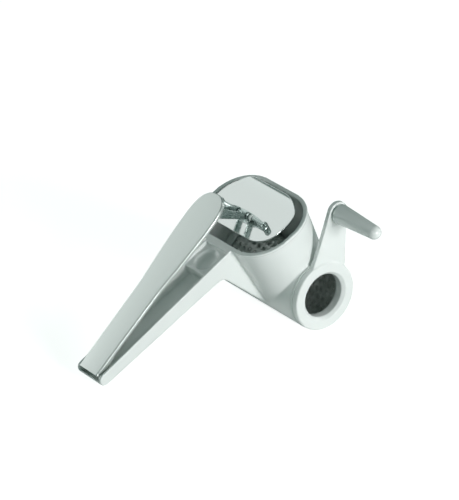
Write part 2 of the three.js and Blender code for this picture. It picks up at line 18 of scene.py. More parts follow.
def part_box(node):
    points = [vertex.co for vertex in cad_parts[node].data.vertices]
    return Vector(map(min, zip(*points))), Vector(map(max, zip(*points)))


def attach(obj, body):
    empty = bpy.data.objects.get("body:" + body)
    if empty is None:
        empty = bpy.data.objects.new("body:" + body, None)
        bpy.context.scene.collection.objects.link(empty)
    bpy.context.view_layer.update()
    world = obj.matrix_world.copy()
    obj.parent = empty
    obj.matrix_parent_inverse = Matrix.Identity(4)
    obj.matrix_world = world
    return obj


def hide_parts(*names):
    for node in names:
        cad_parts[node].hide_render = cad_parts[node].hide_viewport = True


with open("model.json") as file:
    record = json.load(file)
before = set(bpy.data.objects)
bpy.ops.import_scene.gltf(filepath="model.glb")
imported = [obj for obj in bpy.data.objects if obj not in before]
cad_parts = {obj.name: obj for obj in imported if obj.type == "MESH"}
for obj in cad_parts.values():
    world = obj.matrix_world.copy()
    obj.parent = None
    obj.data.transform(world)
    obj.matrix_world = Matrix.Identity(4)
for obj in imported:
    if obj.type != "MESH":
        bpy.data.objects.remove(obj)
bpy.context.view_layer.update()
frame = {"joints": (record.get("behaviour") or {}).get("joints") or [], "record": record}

bl_info = {
    "name": "Rotary Cheese Grater",
    "version": (1, 0, 0),
    "blender": (4, 5, 0),
    "location": "3D View > Sidebar > Grater",
    "description": "Builds a hand-held rotary cheese grater piece by piece",
    "category": "Add Mesh",
}

MM = 0.001
GAP = 0.3 * MM  # between pieces that touch
THROUGH = 1.0 * MM  # how far a cut runs past the face it opens
NECK_FLANGE = 1.2 * MM  # bearing ring in front of the neck
SLEEVE_WALL = 0.8 * MM  # bearing ring inside the neck
SPIGOT_WALL = 2 * MM  # crank's spigot inside the drum's collar
SPINDLE_HOLE = 2.3 * MM  # in the crank and the knob
CHEEK_HALF_WIDTH = 10 * MM  # lever at the hinge, centre plane to the outside
ROD_RADIUS = 1.1 * MM  # cross rod of the press plate
ROD_BORE = 1.4 * MM  # in the arm, the bracket and the beads
ROD_HALF = 26 * MM
GRAIN_DEPTH = 0.02 * MM

JOINTS = {joint["name"]: joint for joint in frame["joints"]}
MOUNTS = {mount["name"]: mount for mount in frame["record"]["mounts"]}


def length(name, description, millimetres):
    return FloatProperty(
        name=name, description=description, default=millimetres * MM, min=0.0, unit="LENGTH", precision=4
    )


def colour(name, description, value):
    return FloatVectorProperty(
        name=name, description=description, default=value, size=3, min=0.0, max=1.0, subtype="COLOR"
    )


class GraterSizes(bpy.types.PropertyGroup):
    """Sizes of the visual pieces"""

    handle_length: length("Handle length", "Hopper's rear wall to the rounded hinge end", 128)
    handle_width: length("Handle width", "Across the channel handle", 26.8)
    handle_depth: length("Handle depth", "Rim plane to the handle's underside", 14)
    handle_wall: length("Handle wall", "Thickness of the channel's walls", 2.2)
    handle_floor: length("Handle floor", "Thickness of the channel's floor", 2.4)
    wall_drop: length("Wall drop", "Rim plane to the wall tops at the hinge", 5.3)
    bar_thickness: length("Bar thickness", "Cross bar behind the hopper", 3.3)
    block_length: length("Block length", "Raised block behind the bar", 22)
    block_drop: length("Block drop", "Rim plane to the block's top", 2.6)
    spine_depth: length("Spine depth", "How far the spine's top stands behind the hopper", 15)
    spine_fillet: length("Spine fillet", "Corner between handle and spine", 5)
    hopper_length: length("Hopper length", "Across the mouth, along the handle", 59.5)
    hopper_width: length("Hopper width", "Across the mouth, along the drum", 87.6)
    hopper_base_width: length("Hopper base width", "Width of the hopper at the drum axis", 82)
    hopper_corner: length("Hopper corner", "Corner radius of the mouth", 27)
    hopper_wall: length("Hopper wall", "Thickness of the hopper's wall", 2.4)
    lip: length("Lip", "How far the rim's lip stands out", 0.6)
    axis_depth: length("Drum axis depth", "Rim plane to the drum axis", 56.4)
    housing_radius: length("Housing radius", "Outside of the drum housing", 25.3)
    housing_wall: length("Housing wall", "Thickness of the drum housing", 2.3)
    neck_end: length("Neck end", "Centre plane to the end of the neck", 43.3)
    far_end: length("Far end", "Centre plane to the far wall's outside", 42.3)
    far_wall: length("Far wall", "Thickness of the far wall", 2.4)
    shell_radius: length("Shell radius", "Outside of the drum's sheet", 20.5)
    shell_sheet: length("Shell sheet", "Thickness of the drum's sheet", 0.4)
    tooth_height: length("Tooth height", "How far the drum's teeth stand out", 0.75)
    teeth_around: IntProperty(name="Teeth around", description="Teeth in one ring", default=26, min=6)
    teeth_along: IntProperty(name="Teeth along", description="Rings of teeth", default=14, min=2)
    crank_radius: length("Crank radius", "Drum axis to knob axis", 60.3)
    hub_bore: length("Hub bore", "Radius of the opening in the crank's hub", 15.8)
    knob_base_radius: length("Knob base radius", "Knob at the crank", 7)
    knob_tip_radius: length("Knob tip radius", "Knob near its tip", 4.9)
    lever_length: length("Lever length", "Hinge axis to the lever's round tip", 145.6)
    pivot_ahead: length("Pivot ahead", "Plate's pivot past the lever's tip", 2)
    lever_tail: length("Lever tail", "Lever behind the hinge axis", 1.5)
    lever_rise: length("Lever rise", "Hinge axis to the lever's top face", 6)
    lever_sheet: length("Lever sheet", "Thickness of the lever's sheet", 1.2)
    lever_flange: length("Lever flange", "Height of the lever's turned edge", 2.6)
    plate_half_width: length("Plate half width", "Half of the press plate, along the drum", 36)
    plate_front: length("Plate front", "Pivot to the plate's front edge", 28.5)
    plate_rear: length("Plate rear", "Pivot to the plate's rear edge", 13.7)
    plate_sheet: length("Plate sheet", "Thickness of the press plate", 1)
    plate_curl: length("Plate curl", "Rise of the plate's front edge", 4.5)


class GraterFinish(bpy.types.PropertyGroup):
    """Colours of the finishes"""

    white: colour("White moulding", "Body, crank and knob", (0.77, 0.83, 0.81))
    bearing: colour("Bearing plastic", "Rings, bushes and washers", (0.60, 0.70, 0.665))
    brushed: colour("Brushed steel", "Lever, hinge pin and spindle", (0.86, 0.94, 0.92))
    # A darker copy of the brushed steel, as painted shade on the press arm, leaf bracket and cross rod.
    fitting: colour("Fitting steel", "Press arm, leaf bracket and cross rod", (0.60, 0.68, 0.66))
    polished: colour("Polished steel", "Press plate", (0.50, 0.60, 0.58))
    toothed: colour("Drum steel", "Toothed drum", (0.86, 0.94, 0.92))
    floor: colour("Floor", "Studio floor", (0.93, 0.935, 0.93))


# ---- Places in the row frame ----


def placed(origin, along, up):
    """Matrix of a frame with its x and z axes along two row directions that are square to each other."""
    side = up.cross(along)
    matrix = Matrix((along, side, up)).transposed().to_4x4()
    matrix.translation = origin
    return matrix


def grater_frame(sizes):
    """The grater's own frame: x = 0 at the hopper's rear wall and z = 0 at the rim."""
    up = -Vector(MOUNTS["handle_underside"]["axis"])
    along = Vector((0, 1, 0)).cross(up)
    drum = Vector(JOINTS["crank_turn"]["pos_m"])
    return placed(drum - along * sizes.hopper_length / 2 + up * sizes.axis_depth, along, up)


def drum_frame():
    """Origin on the drum axis at the centre plane, with z along the crank's arm."""
    drum = Vector(JOINTS["crank_turn"]["pos_m"])
    knob = Vector(JOINTS["knob_spin"]["pos_m"])
    up = Vector((knob.x - drum.x, 0, knob.z - drum.z)).normalized()
    return placed(drum, Vector((0, 1, 0)).cross(up), up)


def lever_frame(sizes):
    """Origin on the hinge axis, with x along the lever."""
    hinge = Vector(JOINTS["lever_swing"]["pos_m"])
    pivot = Vector(JOINTS["plate_tilt"]["pos_m"])
    reach = sizes.lever_length + sizes.pivot_ahead
    drop = math.sqrt((pivot - hinge).length_squared - reach**2)
    lift = math.atan2(pivot.z - hinge.z, pivot.x - hinge.x) + math.atan2(drop, reach)
    along = Vector((math.cos(lift), 0, math.sin(lift)))
    return placed(hinge, along, along.cross(Vector((0, 1, 0))))


def plate_frame(sizes):
    """Origin on the plate's pivot, square to the rim plane."""
    matrix = grater_frame(sizes)
    matrix.translation = Vector(JOINTS["plate_tilt"]["pos_m"])
    return matrix


def span(node):
    """Where a CAD node starts and ends along y, from the centre plane."""
    low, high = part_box(node)
    centre = Vector(JOINTS["crank_turn"]["pos_m"])
    return low.y - centre.y, high.y - centre.y


# ---- Curves in a plane ----


def arc(centre, radius, start, end, steps):
    """Points of an arc, angles in degrees."""
    turns = np.radians(np.linspace(start, end, steps + 1))
    return [(centre[0] + radius * math.cos(turn), centre[1] + radius * math.sin(turn)) for turn in turns]


def bezier(points, steps):
    """Points of a quadratic or cubic curve, without its first point."""
    curve = []
    for share in np.linspace(0, 1, steps + 1)[1:]:
        level = [Vector(point) for point in points]
        while len(level) > 1:
            level = [a.lerp(b, share) for a, b in zip(level, level[1:])]
        curve.append(tuple(level[0]))
    return curve


def rounded_rectangle(size_x, size_y, corner, steps=16):
    """Closed outline of a rectangle about the origin with round corners."""
    x = size_x / 2 - corner
    y = size_y / 2 - corner
    outline = []
    for centre, start in (((x, -y), -90), ((x, y), 0), ((-x, y), 90), ((-x, -y), 180)):
        outline += arc(centre, corner, start, start + 90, steps)
    return outline


def rounded(profile, radius, steps=4):
    """A closed profile with its corners rounded, apart from corners that lie on the axis."""
    result = []
    count = len(profile)
    for index, point in enumerate(profile):
        here = Vector(point)
        before = Vector(profile[index - 1]) - here
        after = Vector(profile[(index + 1) % count]) - here
        reach = min(radius, before.length * 0.45, after.length * 0.45)
        if here.x < 1e-6 or before.angle(after) > math.radians(165):
            result.append(tuple(here))
            continue
        start = here + before.normalized() * reach
        end = here + after.normalized() * reach
        result.append(tuple(start))
        result += bezier([start, here, end], steps)
    return result


# ---- Meshes ----


def mesh_object(name, vertices, faces, matrix, smooth_angle=35):
    """A linked object with outward faces, placed by matrix and smooth below an angle in degrees."""
    mesh = bpy.data.meshes.new(name)
    mesh.from_pydata([tuple(vertex) for vertex in vertices], [], faces)
    shape = bmesh.new()
    shape.from_mesh(mesh)
    bmesh.ops.remove_doubles(shape, verts=shape.verts, dist=1e-7)
    bmesh.ops.dissolve_degenerate(shape, edges=shape.edges, dist=1e-8)
    bmesh.ops.recalc_face_normals(shape, faces=shape.faces)
    shape.transform(matrix)
    shape.to_mesh(mesh)
    shape.free()
    mesh.shade_smooth()
    mesh.set_sharp_from_angle(angle=math.radians(smooth_angle))
    piece = bpy.data.objects.new(name, mesh)
    bpy.context.scene.collection.objects.link(piece)
    return piece


def bands(count, levels, closed=True):
    """Faces between lines of points that follow one another, with count points in each."""
    faces = []
    for level in range(levels - 1):
        here = level * count
        there = here + count
        for i in range(count if closed else count - 1):
            j = (i + 1) % count
            faces.append((here + i, here + j, there + j, there + i))
    return faces


def prism(name, outline, low, high, along_y=False):
    """A plane outline drawn out along z, or along y."""
    count = len(outline)
    rows = []
    for level in (low, high):
        rows += [(a, level, b) if along_y else (a, b, level) for a, b in outline]
    caps = [tuple(range(count)), tuple(range(2 * count - 1, count - 1, -1))]
    return mesh_object(name, rows, bands(count, 2) + caps, Matrix.Identity(4))


def turned(name, profile, matrix, segments=96):
    """A closed profile of (radius, y) turned about y."""
    count = len(profile)
    vertices = []
    for turn in np.linspace(0, 2 * math.pi, segments, endpoint=False):
        vertices += [(radius * math.sin(turn), y, radius * math.cos(turn)) for radius, y in profile]
    faces = []
    for ring in range(segments):
        here = ring * count
        there = ((ring + 1) % segments) * count
        for i in range(count):
            j = (i + 1) % count
            faces.append((here + i, there + i, there + j, here + j))
    return mesh_object(name, vertices, faces, matrix)


def to_crank(profile):
    """The profile on the crank's side of the centre plane."""
    return [(radius, -y) for radius, y in profile]


def tube(bore, radius, start, end):
    """Profile of a straight tube, or of a solid pin when the bore is 0."""
    return [(bore, start), (radius, start), (radius, end), (bore, end)]


def rod(name, radius, low, high, x=0.0, z=0.0, segments=96):
    """A solid cylinder along y."""
    return turned(name, tube(0, radius, low, high), Matrix.Translation((x, 0, z)), segments)


def evaluated(piece):
    """The piece with its modifiers applied to its mesh."""
    graph = bpy.context.evaluated_depsgraph_get()
    mesh = bpy.data.meshes.new_from_object(piece.evaluated_get(graph))
    piece.modifiers.clear()
    old = piece.data
    piece.data = mesh
    mesh.name = piece.name
    bpy.data.meshes.remove(old)


def moulded(name, adds, cuts, matrix, voxel, passes):
    """One moulding from solids that are joined and cut, with every edge and corner softly rounded."""
    piece = adds[0]
    piece.name = name
    for operation, tools in (("UNION", adds[1:]), ("DIFFERENCE", cuts)):
        for tool in tools:
            modifier = piece.modifiers.new(operation.title(), "BOOLEAN")
            modifier.operation = operation
            modifier.solver = "EXACT"
            modifier.object = tool
    remesh = piece.modifiers.new("Remesh", "REMESH")
    remesh.mode = "VOXEL"
    remesh.voxel_size = voxel
    smooth = piece.modifiers.new("Smooth", "SMOOTH")
    smooth.factor = 0.5
    smooth.iterations = passes
    evaluated(piece)
    for tool in adds[1:] + cuts:
        bpy.data.objects.remove(tool)
    piece.data.transform(matrix)
    piece.data.shade_smooth()
    return piece


def thickened(piece, sheet):
    """The surface with a sheet's thickness on its inner side."""
    solidify = piece.modifiers.new("Sheet", "SOLIDIFY")
    solidify.thickness = sheet
    solidify.offset = -1
    evaluated(piece)


def bevelled(piece, width, segments=3):
    """The piece with its sharp edges rounded."""
    bevel = piece.modifiers.new("Bevel", "BEVEL")
    bevel.width = width
    bevel.segments = segments
    bevel.limit_method = "ANGLE"
    bevel.angle_limit = math.radians(40)
    bevel.harden_normals = True
    evaluated(piece)


def finished(piece, body, slot, *nodes, look=None):
    """Gives the piece its slot's material or another look, hangs it on its body's empty and hides the CAD
    nodes it stands for.
    """
    piece.data.materials.clear()
    piece.data.materials.append(material(look or slot))
    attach(piece, body)
    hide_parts(*nodes)


# ---- Shader node groups ----


def new_group(name, inputs, outputs):
    """An empty group with its input and output nodes; a default that is a tuple makes a vector input."""
    group = bpy.data.node_groups.new(name, "ShaderNodeTree")
    for socket, default in inputs:
        kind = "NodeSocketVector" if isinstance(default, tuple) else "NodeSocketFloat"
        group.interface.new_socket(name=socket, in_out="INPUT", socket_type=kind).default_value = default
    for socket in outputs:
        group.interface.new_socket(name=socket, in_out="OUTPUT", socket_type="NodeSocketFloat")
    return group, group.nodes.new("NodeGroupInput"), group.nodes.new("NodeGroupOutput")


def map_range(group, value, low, high):
    """A node that spreads a value, so that low becomes 0 and high becomes 1."""
    spread = group.nodes.new("ShaderNodeMapRange")
    spread.inputs["From Min"].default_value = low
    spread.inputs["From Max"].default_value = high
    group.links.new(value, spread.inputs["Value"])
    return spread


def product(group, first, second):
    """Two values multiplied."""
    node = group.nodes.new("ShaderNodeMath")
    node.operation = "MULTIPLY"
    group.links.new(first, node.inputs[0])
    group.links.new(second, node.inputs[1])
    return node.outputs["Value"]


def grain_group():
    """Noise stretched along one direction: brush lines, or an even mottle when the stretch is equal."""
    inputs = [("Stretch", (1.0, 1.0, 1.0)), ("Scale", 400.0), ("Low", 0.2), ("High", 0.4)]
    group, inside, outside = new_group("Grain", inputs, ["Value", "Height"])
    nodes = group.nodes
    links = group.links
    place = nodes.new("ShaderNodeTexCoord")
    stretch = nodes.new("ShaderNodeVectorMath")
    stretch.operation = "MULTIPLY"
    noise = nodes.new("ShaderNodeTexNoise")
    noise.inputs["Detail"].default_value = 4.0
    spread = map_range(group, noise.outputs["Fac"], 0.3, 0.7)
    links.new(place.outputs["Object"], stretch.inputs[0])
    links.new(inside.outputs["Stretch"], stretch.inputs[1])
    links.new(stretch.outputs["Vector"], noise.inputs["Vector"])
    links.new(inside.outputs["Scale"], noise.inputs["Scale"])
    links.new(inside.outputs["Low"], spread.inputs["To Min"])
    links.new(inside.outputs["High"], spread.inputs["To Max"])
    links.new(spread.outputs["Result"], outside.inputs["Value"])
    links.new(noise.outputs["Fac"], outside.inputs["Height"])
    return group


def edge_shade_highlight_group():
    """Mask along edges and creases, broken up by noise, that carries painted shade and painted highlights
    into the colour.
    """
    group, inside, outside = new_group("Edge Wear", [("Radius", 0.001), ("Amount", 1.0)], ["Mask"])
    nodes = group.nodes
    links = group.links
    bevel = nodes.new("ShaderNodeBevel")
    bevel.samples = 4
    normal = nodes.new("ShaderNodeNewGeometry")
    dot = nodes.new("ShaderNodeVectorMath")
    dot.operation = "DOT_PRODUCT"
    place = nodes.new("ShaderNodeTexCoord")
    noise = nodes.new("ShaderNodeTexNoise")
    noise.inputs["Scale"].default_value = 260.0
    links.new(inside.outputs["Radius"], bevel.inputs["Radius"])
    links.new(bevel.outputs["Normal"], dot.inputs[0])
    links.new(normal.outputs["Normal"], dot.inputs[1])
    links.new(place.outputs["Object"], noise.inputs["Vector"])
    spread = map_range(group, dot.outputs["Value"], 0.995, 0.90)
    broken = product(group, spread.outputs["Result"], noise.outputs["Fac"])
    mask = product(group, broken, inside.outputs["Amount"])
    links.new(mask, outside.inputs["Mask"])
    return group


def hollow_shade_group():
    """Mask of painted shade: it grows in hollows and is 0 on open faces."""
    group, inside, outside = new_group("Hollows", [("Reach", 0.01), ("Amount", 1.0)], ["Mask"])
    closeness = group.nodes.new("ShaderNodeAmbientOcclusion")
    closeness.samples = 12
    group.links.new(inside.outputs["Reach"], closeness.inputs["Distance"])
    spread = map_range(group, closeness.outputs["AO"], 0.95, 0.40)
    mask = product(group, spread.outputs["Result"], inside.outputs["Amount"])
    group.links.new(mask, outside.inputs["Mask"])
    return group


# ---- Materials ----


class Finish:
    """A material under construction, with its nodes, links and Principled shader."""

    def __init__(self, name):
        self.material = bpy.data.materials.new(name)
        self.material.use_nodes = True
        self.nodes = self.material.node_tree.nodes
        self.links = self.material.node_tree.links
        self.shader = self.nodes["Principled BSDF"]

    def group(self, name, build, **values):
        """A node that holds a group, built the first time it is asked for, with its inputs set."""
        node = self.nodes.new("ShaderNodeGroup")
        node.node_tree = bpy.data.node_groups.get(name) or build()
        for socket, value in values.items():
            node.inputs[socket].default_value = value
        return node

    def mixed(self, low, high, factor):
        """Colour between two, by a value that changes over the surface."""
        mix = self.nodes.new("ShaderNodeMix")
        mix.data_type = "RGBA"
        colours = [socket for socket in mix.inputs if socket.type == "RGBA"]
        for socket, value in zip(colours, (low, high)):
            if isinstance(value, bpy.types.NodeSocket):
                self.links.new(value, socket)
            else:
                socket.default_value = (*value, 1.0)
        self.links.new(factor, mix.inputs["Factor"])
        return next(socket for socket in mix.outputs if socket.type == "RGBA")

    def paint(self, base, clouds, tones, edge, hollow):
        """Base colour: clouded between two tones, then painted shade or highlight along edges and painted
        shade in hollows.
        """
        radius, edge_amount, edge_tone = edge
        reach, hollow_shade_amount, hollow_shade_colour = hollow
        cloud = self.group("Grain", grain_group, Scale=clouds, Low=0.0, High=1.0)
        edges = self.group("Edge Wear", edge_shade_highlight_group, Radius=radius, Amount=edge_amount)
        hollows = self.group("Hollows", hollow_shade_group, Reach=reach, Amount=hollow_shade_amount)
        body = self.mixed(shade(base, tones[0]), shade(base, tones[1]), cloud.outputs["Value"])
        # Painted shade or painted highlight along edges and creases, by the edge tone.
        edge_painted = self.mixed(body, shade(base, edge_tone), edges.outputs["Mask"])
        # Painted shade: the colour darkens in hollows.
        hollow_shaded = self.mixed(edge_painted, hollow_shade_colour, hollows.outputs["Mask"])
        self.links.new(hollow_shaded, self.shader.inputs["Base Color"])

    def grain(self, strength, **values):
        """Grain in the gloss and, as a bump, in the normal."""
        grain = self.group("Grain", grain_group, **values)
        bump = self.nodes.new("ShaderNodeBump")
        bump.inputs["Strength"].default_value = strength
        bump.inputs["Distance"].default_value = GRAIN_DEPTH
        self.links.new(grain.outputs["Value"], self.shader.inputs["Roughness"])
        self.links.new(grain.outputs["Height"], bump.inputs["Height"])
        self.links.new(bump.outputs["Normal"], self.shader.inputs["Normal"])


def shade(value, factor):
    """The colour times a factor."""
    return tuple(min(1.0, part * factor) for part in value)


def plastic(name, base, roughness):
    """Moulded plastic: faint clouding, fine spark-eroded bump, and painted shade along edges and in
    hollows.
    """
    finish = Finish(name)
    # Painted shade in hollows: a dark green, as the shadow in the channel and hopper.
    hollow = (14 * MM, 0.9, (0.16, 0.25, 0.225))
    # Painted shade along edges and creases: a dark outline at a quarter of the base colour.
    finish.paint(base, clouds=35.0, tones=(0.97, 1.03), edge=(1.3 * MM, 2.0, 0.25), hollow=hollow)
    finish.grain(0.12, Scale=900.0, Low=roughness - 0.05, High=roughness + 0.07)
    finish.shader.inputs["IOR"].default_value = 1.5
    finish.shader.inputs["Subsurface Weight"].default_value = 0.06
    finish.shader.inputs["Subsurface Scale"].default_value = 2 * MM
    return finish.material


def steel(name, base, low, high, stretch, scale, bump, edge=1.35):
    """Sheet steel: grain along one direction, painted shade in hollows, and a painted highlight or painted
    shade along edges, by the edge tone.
    """
    finish = Finish(name)
    # Painted shade in hollows: near black.
    hollow = (2.5 * MM, 0.6, (0.06, 0.085, 0.08))
    # Along edges a tone above 1 is a painted highlight and below 1 painted shade.
    finish.paint(base, clouds=45.0, tones=(0.93, 1.05), edge=(0.4 * MM, 0.9, edge), hollow=hollow)
    finish.grain(bump, Stretch=stretch, Scale=scale, Low=low, High=high)
    finish.shader.inputs["Metallic"].default_value = 1.0
    return finish.material


MATERIALS = {  # maker, colour, and the maker's other values in its own order
    "white_plastic": (plastic, "white", 0.30),
    "bearing_plastic": (plastic, "bearing", 0.38),
    # A steel's last value is its edge tone: above 1 a painted highlight, below 1 painted shade.
    "brushed_steel": (steel, "brushed", 0.26, 0.44, (0.05, 1.0, 0.05), 2600.0, 0.25, 0.45),
    # Darker copy of the brushed steel: painted shade on the fittings.
    "fitting_steel": (steel, "fitting", 0.22, 0.36, (0.3, 1.0, 1.0), 1200.0, 0.15, 0.6),
    "polished_steel": (steel, "polished", 0.10, 0.20, (1.0, 0.2, 1.0), 300.0, 0.04),
    "drum_steel": (steel, "toothed", 0.20, 0.36, (1.0, 0.1, 1.0), 900.0, 0.2),
}


def material(name):
    """The material of that name, built the first time it is asked for, in the scene's colour."""
    make, tone, *values = MATERIALS[name]
    base = getattr(bpy.context.scene.grater_finish, tone)
    return bpy.data.materials.get(name) or make(name, base, *values)


# ---- Outlines of the body ----


def funnel(name, sizes, inset, top):
    """The hopper, drawn in to the housing's width on its way down to the drum axis."""
    long_x = sizes.hopper_length - 2 * inset
    long_y = sizes.hopper_width - 2 * inset
    outline = rounded_rectangle(long_x, long_y, sizes.hopper_corner - inset, 24)
    base_x = (2 * sizes.housing_radius - 2 * inset) / long_x
    base_y = (sizes.hopper_base_width - 2 * inset) / long_y
    piece = prism(name, outline, -sizes.axis_depth, top)
    for vertex in piece.data.vertices:
        share = max(0.0, -vertex.co.z / sizes.axis_depth)
        vertex.co.x = sizes.hopper_length / 2 + vertex.co.x * (1 + (base_x - 1) * share)
        vertex.co.y *= 1 + (base_y - 1) * share
    return piece


def hinge_end(sizes):
    """Centre and radius of the handle's round end, from the side."""
    radius = (sizes.handle_depth - sizes.wall_drop) / 2
    return (radius - sizes.handle_length, -(sizes.handle_depth + sizes.wall_drop) / 2), radius


def handle_outline(sizes):
    """Handle and spine from the side."""
    drum_x = sizes.hopper_length / 2
    hinge, hinge_radius = hinge_end(sizes)
    foot_drop = 2 * MM
    foot = (drum_x - math.sqrt(sizes.housing_radius**2 - foot_drop**2), -sizes.axis_depth - foot_drop)
    slope = (foot[0] + sizes.spine_depth) / (foot[1] + sizes.handle_depth)
    fillet = sizes.spine_fillet
    corner = (-sizes.spine_depth, -sizes.handle_depth)
    after = (corner[0] - fillet * slope, corner[1] - fillet)
    outline = [(drum_x, 0), (-sizes.bar_thickness, 0)]
    outline += arc(hinge, hinge_radius, 90, 270, 24)
    outline.append((corner[0] - fillet, corner[1]))
    outline += bezier([(corner[0] - fillet, corner[1]), corner, after], 8)
    outline += [foot, (drum_x, -sizes.axis_depth)]
    return outline


def channel_outline(sizes):
    """The open channel from the side: deep along the handle, shallow over the raised block."""
    end_wall = 1.3 * MM
    hinge, hinge_radius = hinge_end(sizes)
    floor = -sizes.handle_depth + sizes.handle_floor
    block = -sizes.bar_thickness - sizes.block_length
    back = hinge[0] - hinge_radius
    outline = [(-sizes.bar_thickness, THROUGH), (back - THROUGH, THROUGH), (back - THROUGH, hinge[1])]
    outline += arc(hinge, hinge_radius - end_wall, 180, 270, 12)
    outline += [(hinge[0] + hinge_radius, floor), (block, floor), (block, -sizes.block_drop)]
    outline.append((-sizes.bar_thickness, -sizes.block_drop))
    return outline


def block_dish(sizes):
    """The oval hollow on top of the raised block: a half turn about y, scaled."""
    depth = 3 * MM
    end_margin = 2 * MM
    side_margin = 2.5 * MM
    half_x = sizes.block_length / 2 - end_margin
    half_y = sizes.handle_width / 2 - sizes.handle_wall - side_margin
    profile = arc((0, 0), 1, -90, 90, 18)
    piece = turned("dish", profile, Matrix.Identity(4), 48)
    centre = (-sizes.bar_thickness - sizes.block_length / 2, 0, -sizes.block_drop)
    piece.data.transform(Matrix.Translation(centre) @ Matrix.Diagonal((half_x, half_y, depth, 1)))
    return piece


# ---- Operators ----


class PieceOperator:
    """What the operators share"""

    bl_options = {"REGISTER"}


class GRATER_OT_body(PieceOperator, bpy.types.Operator):
    """Build the white moulding: handle channel, spine, hopper and drum housing"""

    bl_idname = "grater.body"
    bl_label = "Body Housing"

    def execute(self, context):
        sizes = context.scene.grater_sizes
        half = sizes.handle_width / 2
        inner = half - sizes.handle_wall
        axis = {"x": sizes.hopper_length / 2, "z": -sizes.axis_depth}
        chamber = sizes.housing_radius - sizes.housing_wall
        chamber_end = sizes.far_end - sizes.far_wall
        lip_height = 1.8 * MM
        bush_hole = 6.6 * MM
        lip_x = sizes.hopper_length + 2 * sizes.lip
        lip_y = sizes.hopper_width + 2 * sizes.lip
        lip = rounded_rectangle(lip_x, lip_y, sizes.hopper_corner + sizes.lip)
        rim = prism("rim", lip, -lip_height, 0)
        rim.data.transform(Matrix.Translation((sizes.hopper_length / 2, 0, 0)))
        adds = [
            funnel("body_housing", sizes, 0, 0),
            rim,
            prism("handle", handle_outline(sizes), -half, half, along_y=True),
            rod("housing", sizes.housing_radius, -sizes.neck_end, sizes.far_end, **axis),
        ]
        cuts = [
            funnel("inside", sizes, sizes.hopper_wall, THROUGH),
            rod("chamber", chamber, -sizes.neck_end - THROUGH, chamber_end, **axis),
            rod("bush_hole", bush_hole, chamber_end - THROUGH, sizes.far_end + THROUGH, **axis),
            prism("channel", channel_outline(sizes), -inner, inner, along_y=True),
            block_dish(sizes),
        ]
        piece = moulded("body_housing_shell", adds, cuts, grater_frame(sizes), 0.5 * MM, 3)
        finished(piece, "body", "white_plastic", "body_housing")
        return {"FINISHED"}


def build_neck_ring(sizes, place):
    """The ring between the neck and the drum, with a flange in front."""
    sleeve_length = 6 * MM
    sleeve = sizes.housing_radius - sizes.housing_wall - GAP
    bore = sleeve - SLEEVE_WALL
    back = sizes.neck_end + GAP
    face = back + NECK_FLANGE
    start = sizes.neck_end - sleeve_length
    ring = [(bore, start), (sleeve, start), (sleeve, back)]
    ring += [(sizes.housing_radius, back), (sizes.housing_radius, face), (bore, face)]
    piece = turned("neck_ring", to_crank(rounded(ring, 0.4 * MM)), place, 160)
    finished(piece, "body", "bearing_plastic", "neck_bearing_ring")


def build_bush(sizes, place):
    """The flanged bush in the far wall."""
    bore = 4.3 * MM
    outside = 6.3 * MM
    flange_radius = 8.6 * MM
    wall = sizes.far_end - sizes.far_wall + GAP
    flange = sizes.far_end + GAP
    face = flange + 1.2 * MM
    bush = [(bore, wall), (outside, wall), (outside, flange), (flange_radius, flange)]
    bush += [(flange_radius, face), (bore, face)]
    piece = turned("far_bush", rounded(bush, 0.3 * MM), place)
    finished(piece, "body", "bearing_plastic", "rear_bush")


class GRATER_OT_bearings(PieceOperator, bpy.types.Operator):
    """Build the ring at the neck and the bush in the far wall"""

    bl_idname = "grater.bearings"
    bl_label = "Bearings"

    def execute(self, context):
        sizes = context.scene.grater_sizes
        place = drum_frame()
        build_neck_ring(sizes, place)
        build_bush(sizes, place)
        return {"FINISHED"}


TOOTH_POINTS = 12  # in each ring of a tooth
TOOTH_RINGS = ((0.40, 0.0), (0.27, 0.75), (0.21, 1.0), (0.16, 0.35))  # radius and height, as shares
LOW_POINT = 0.55  # height of the jagged crown between its peaks, as a share


def tooth_cell(u, v, pitch_u, pitch_v, height):
    """Points of one punched tooth as rings of (u, v, height): square edge, foot, jagged crown and hole."""
    corners = [(-1, -1), (1, -1), (1, 1), (-1, 1)]
    edge = []
    for (a, b), (c, d) in zip(corners, corners[1:] + corners[:1]):
        edge += [(a + (c - a) * share / 3, b + (d - b) * share / 3) for share in range(3)]
    rings = [[(u + x * pitch_u / 2, v + y * pitch_v / 2, 0.0) for x, y in edge]]
    reach = min(pitch_u, pitch_v)
    for share, lift in TOOTH_RINGS:
        ring = []
        for index, (x, y) in enumerate(edge):
            turn = math.atan2(y, x)
            jag = 1.0 if index % 3 == 0 else LOW_POINT
            rise = height * lift * (jag if lift > 0.5 else 1.0)
            ring.append((u + reach * share * math.cos(turn), v + reach * share * math.sin(turn), rise))
        rings.append(ring)
    return rings


